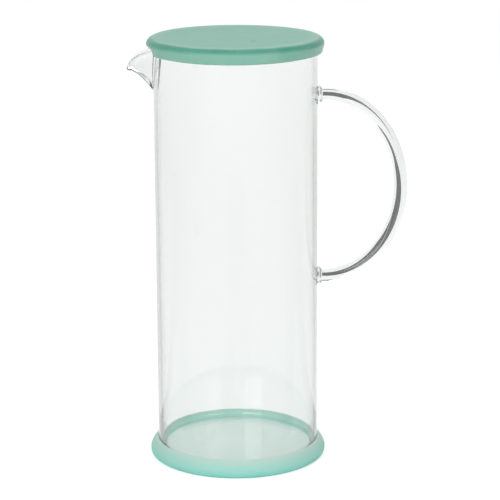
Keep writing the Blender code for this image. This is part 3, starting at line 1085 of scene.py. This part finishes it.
def rod_tone(tree):
    """A dark tone with a paler slit at one height."""
    height = height_and_radius(tree)[0]
    above = ranged(tree, height, *SLIT_RISE, 0, SLIT_TONE)
    slit = maths(tree, "MULTIPLY", above, ranged(tree, height, *SLIT_FALL, 0, 1))
    return maths(tree, "ADD", ROD_TONE, slit)


def rod_rays(tree, path):
    """Rays that were not mirrored, that passed a marking sheet and that meet the flag nearly face-on."""
    unturned = maths(tree, "LESS_THAN", path["Glossy Depth"], ONE_OR_MORE)
    marked = maths(tree, "GREATER_THAN", path["Transparent Depth"], ONE_OR_MORE)
    aslant = add_node(tree, "ShaderNodeLayerWeight", Blend=0.5).outputs["Facing"]
    limit = ranged(tree, height_and_radius(tree)[0], *ASLANT_HEIGHTS, ASLANT_LOW, ASLANT_HIGH)
    return maths(tree, "MULTIPLY", unturned, marked, maths(tree, "LESS_THAN", aslant, limit))


rod_flag = flag_material("rod_flag", rod_tone, rod_rays)
edge_flag = flag_material("edge_flag", edge_tone, edge_rays)
print("flag materials:", rod_flag.name, "and", edge_flag.name)

# %% [markdown]
# The rod's flags are upright cards, a wide one with a stepped top and a narrow one beside it, behind the
# handle and once more in front of it for the view from behind. The top of the wide card and a paler slit
# across it decide where the dark streaks in the rod begin and end. A marking sheet is a plain transparent
# card, and a ray that passes it counts one more transparent surface.

# %% Upright flags and marking sheets, behind and in front of the handle
FLAG_DISTANCE = 0.15
FLAG_FOOT = 0.028
WIDE_FLAG_X = (0.050, 0.066, 0.086, 0.125, 0.132, 0.142, 0.152, 0.162, 0.180)
WIDE_FLAG_TOP = (0.078, 0.086, 0.122, 0.158, 0.200, 0.216, 0.210, 0.172, 0.160)
WIDE_FLAG_COLUMNS = 53
NARROW_FLAG_X = (0.056, 0.077)
NARROW_FLAG_Z = (0.154, 0.212)
MARK_DISTANCE = 0.0062
MARK_X = (BODY_RADIUS + GAP, 0.115)
MARK_Z = (0.085, 0.290)


def seen_by_glass(item, material):
    """Give a flag its material and hide it from everything but light that passes through glass."""
    item.data.materials.append(material)
    item.visible_camera = False
    item.visible_diffuse = False
    item.visible_glossy = False
    item.visible_shadow = False


def upright_card(name, x, z, distance, material):
    """Card in front of the handle or behind it, from columns of lower and upper edge heights at x."""
    y = np.full(z.shape, distance)
    card = stage_grid(name, np.stack([np.broadcast_to(x[:, None], z.shape), y, z], axis=-1))
    seen_by_glass(card, material)


rod_mark, tree, output = bare_material("rod_mark")
feed(tree, output.inputs["Surface"], tree.nodes.new("ShaderNodeBsdfTransparent").outputs["BSDF"])
wide_x = np.linspace(WIDE_FLAG_X[0], WIDE_FLAG_X[-1], WIDE_FLAG_COLUMNS)
wide_top = np.interp(wide_x, WIDE_FLAG_X, WIDE_FLAG_TOP)
wide_z = np.stack([np.full_like(wide_x, FLAG_FOOT), wide_top], axis=-1)
narrow_z = np.broadcast_to(NARROW_FLAG_Z, (2, 2))
mark_z = np.broadcast_to(MARK_Z, (2, 2))
for side, where in ((1, "behind"), (-1, "in_front")):
    upright_card(f"wide_flag_{where}", wide_x, wide_z, side * FLAG_DISTANCE, rod_flag)
    upright_card(f"narrow_flag_{where}", np.array(NARROW_FLAG_X), narrow_z, side * FLAG_DISTANCE, rod_flag)
    upright_card(f"rod_mark_{where}", np.array(MARK_X), mark_z, side * MARK_DISTANCE, rod_mark)
print("rod flags", 1000 * FLAG_DISTANCE, "mm behind and in front of the handle")

# %% [markdown]
# The flags for the edges of the wall lie on the floor. From each of four sides two fans run away from
# the jug, one along either edge of its outline, so that the edges are drawn in views from all round. A
# ring close round the foot does the same for the heel.

# %% Fans and a ring on the floor
FAN_START = 0.05
FAN_END = 0.90
FAN_INWARD = math.radians(-6)
FAN_OUTWARD = math.radians(9)
FAN_RISE = 0.002
FAN_ROWS = 12
FAN_COLUMNS = 5
FAN_TURNS = 4
RING_INNER = 0.056
RING_OUTER = 0.100
RING_RISE = 0.001
RING_COLUMNS = 65

fan_y = np.linspace(FAN_START, FAN_END, FAN_ROWS)[:, None]
fan_x = BODY_RADIUS + fan_y * np.tan(np.linspace(FAN_INWARD, FAN_OUTWARD, FAN_COLUMNS))[None, :]
fan = np.stack([fan_x, np.broadcast_to(fan_y, fan_x.shape), np.full(fan_x.shape, FAN_RISE)], axis=-1)
for turn in range(FAN_TURNS):
    for side in (1, -1):
        item = stage_grid(f"edge_flag_{turn}_{'right' if side > 0 else 'left'}", fan * (side, 1, 1))
        item.data.transform(Matrix.Rotation(2 * math.pi * turn / FAN_TURNS, 4, "Z"))
        seen_by_glass(item, edge_flag)

ring_profile = flat_run(np.array([RING_INNER, RING_OUTER]), RING_RISE)
ring = turned(ring_profile, np.linspace(-np.pi, np.pi, RING_COLUMNS))
seen_by_glass(stage_grid("edge_flag_ring", ring), edge_flag)
print(2 * FAN_TURNS, "edge flags and a ring round the foot")

# %% [markdown]
# ## Light
# The light is that of a white tent that is open to the left and the right: bright behind the pitcher and
# at the height of the eye, less bright overhead, behind the camera and at the sides. That is why the lid's
# flat top mirrors a pale surround while its shoulder and its ends stay deep in colour. An image of a
# studio could light the scene, but a few nodes that read the direction do it here. To the eye and through
# glass the tent is plain white. To rays that were mirrored inside the edge of the wall and leave it
# upwards it is dark, as a card overhead would be, which draws the edges. Large soft lamps give the light
# a direction of its own.

# %% The white tent
WORLD_LEVEL = 0.92
WORLD_TOP = 0.72
WORLD_SIDES = 0.35
WORLD_FRONT = 0.50
WORLD_EDGE = 0.20
ROOF_RANGE = (0.35, 0.85)
FRONT_RANGE = (-0.4, 0.2)
SIDES_RANGE = (0.1, 0.6)
CARD_RANGE = (0.05, 0.35)

world = bpy.data.worlds.new("white_tent")
bpy.context.scene.world = world
world.use_nodes = True
sky = world.node_tree
direction = sky.nodes.new("ShaderNodeTexCoord").outputs["Generated"]
towards = add_node(sky, "ShaderNodeSeparateXYZ", Vector=direction).outputs
roof = ranged(sky, towards["Z"], *ROOF_RANGE, WORLD_LEVEL, WORLD_TOP)
front = ranged(sky, towards["Y"], *FRONT_RANGE, WORLD_FRONT, 1)
sideways = maths(sky, "MULTIPLY", towards["X"], towards["X"])
tent = maths(sky, "MULTIPLY", roof, front, ranged(sky, sideways, *SIDES_RANGE, 1, WORLD_SIDES))
path = sky.nodes.new("ShaderNodeLightPath").outputs
bright = maths(sky, "MAXIMUM", path["Is Camera Ray"], path["Is Transmission Ray"], tent)
turned_back = maths(sky, "GREATER_THAN", path["Glossy Depth"], ONE_OR_MORE)
entered = maths(sky, "GREATER_THAN", path["Transmission Depth"], TWO_OR_MORE)
few = maths(sky, "LESS_THAN", path["Transmission Depth"], THREE_OR_MORE)
upward = maths(sky, "MULTIPLY", turned_back, entered, few, ranged(sky, towards["Z"], *CARD_RANGE, 0, 1))
level = maths(sky, "MULTIPLY", bright, ranged(sky, upward, 0, 1, 1, WORLD_EDGE))
fill(sky, sky.nodes["Background"], Color=WHITE, Strength=level)
print("world", WORLD_LEVEL, "round about,", WORLD_TOP, "overhead,", WORLD_SIDES, "at the sides")

# %% Three soft lamps


def soft_lamp(name, place, target, size, power, tint):
    """Square area lamp at a place, turned to face a target, with its power in watts and its tint."""
    lamp = bpy.data.lights.new(name, "AREA")
    lamp.size = size
    lamp.energy = power
    lamp.color = tint
    item = bpy.data.objects.new(name, lamp)
    way = np.subtract(target, place)
    away = math.hypot(way[0], way[1])
    item.rotation_euler = (math.atan2(away, -way[2]), 0, math.atan2(way[1], way[0]) - math.pi / 2)
    item.location = place
    bpy.context.scene.collection.objects.link(item)


soft_lamp("left_softbox", place=(-0.7, -1.5, 0.9), target=(0, 0, 0.12), size=0.9, power=10.4,
          tint=(1, 1, 1))
soft_lamp("right_softbox", place=(1.0, -1.3, 0.8), target=(0, 0, 0.12), size=0.8, power=4.6,
          tint=(1, 1, 1))
soft_lamp("back_softbox", place=(0.2, 1.3, 1.4), target=(0, 0, 0.25), size=0.9, power=3.4,
          tint=(1, 0.98, 0.92))
print("lamps:", ", ".join(light.name for light in bpy.data.lights))

# %% [markdown]
# ## Camera
# The camera stands where the photograph was taken from: about 1.26 m in front of the pitcher and 0.45 m
# above the table, with a long lens. It looks down by 14 degrees, and it is turned and rolled by a fraction
# of a degree. Its place could be found by eye, but here it was solved from the outlines of the lid, the
# boot and the glass.

# %% Camera
IMAGE_SIDE = 500
FOCAL_PIXELS = 2099.6
SENSOR_WIDTH = 36.0
CAMERA_PLACE = (0.0, -1.2597, 0.4475)
CAMERA_TILT = math.radians(14.136)
CAMERA_PAN = math.radians(0.376)
CAMERA_ROLL = math.radians(0.300)

lens = bpy.data.cameras.new("photo_camera")
lens.sensor_width = SENSOR_WIDTH
lens.lens = FOCAL_PIXELS * SENSOR_WIDTH / IMAGE_SIDE
camera = bpy.data.objects.new("photo_camera", lens)
turn = Matrix.Rotation(-CAMERA_PAN, 4, "Z") @ Matrix.Rotation(math.pi / 2 - CAMERA_TILT, 4, "X")
camera.matrix_world = Matrix.Translation(CAMERA_PLACE) @ turn @ Matrix.Rotation(-CAMERA_ROLL, 4, "Z")
bpy.context.scene.collection.objects.link(camera)
bpy.context.scene.camera = camera
bpy.context.scene.view_settings.view_transform = "Standard"
print("camera: lens", round(lens.lens, 1), "mm")
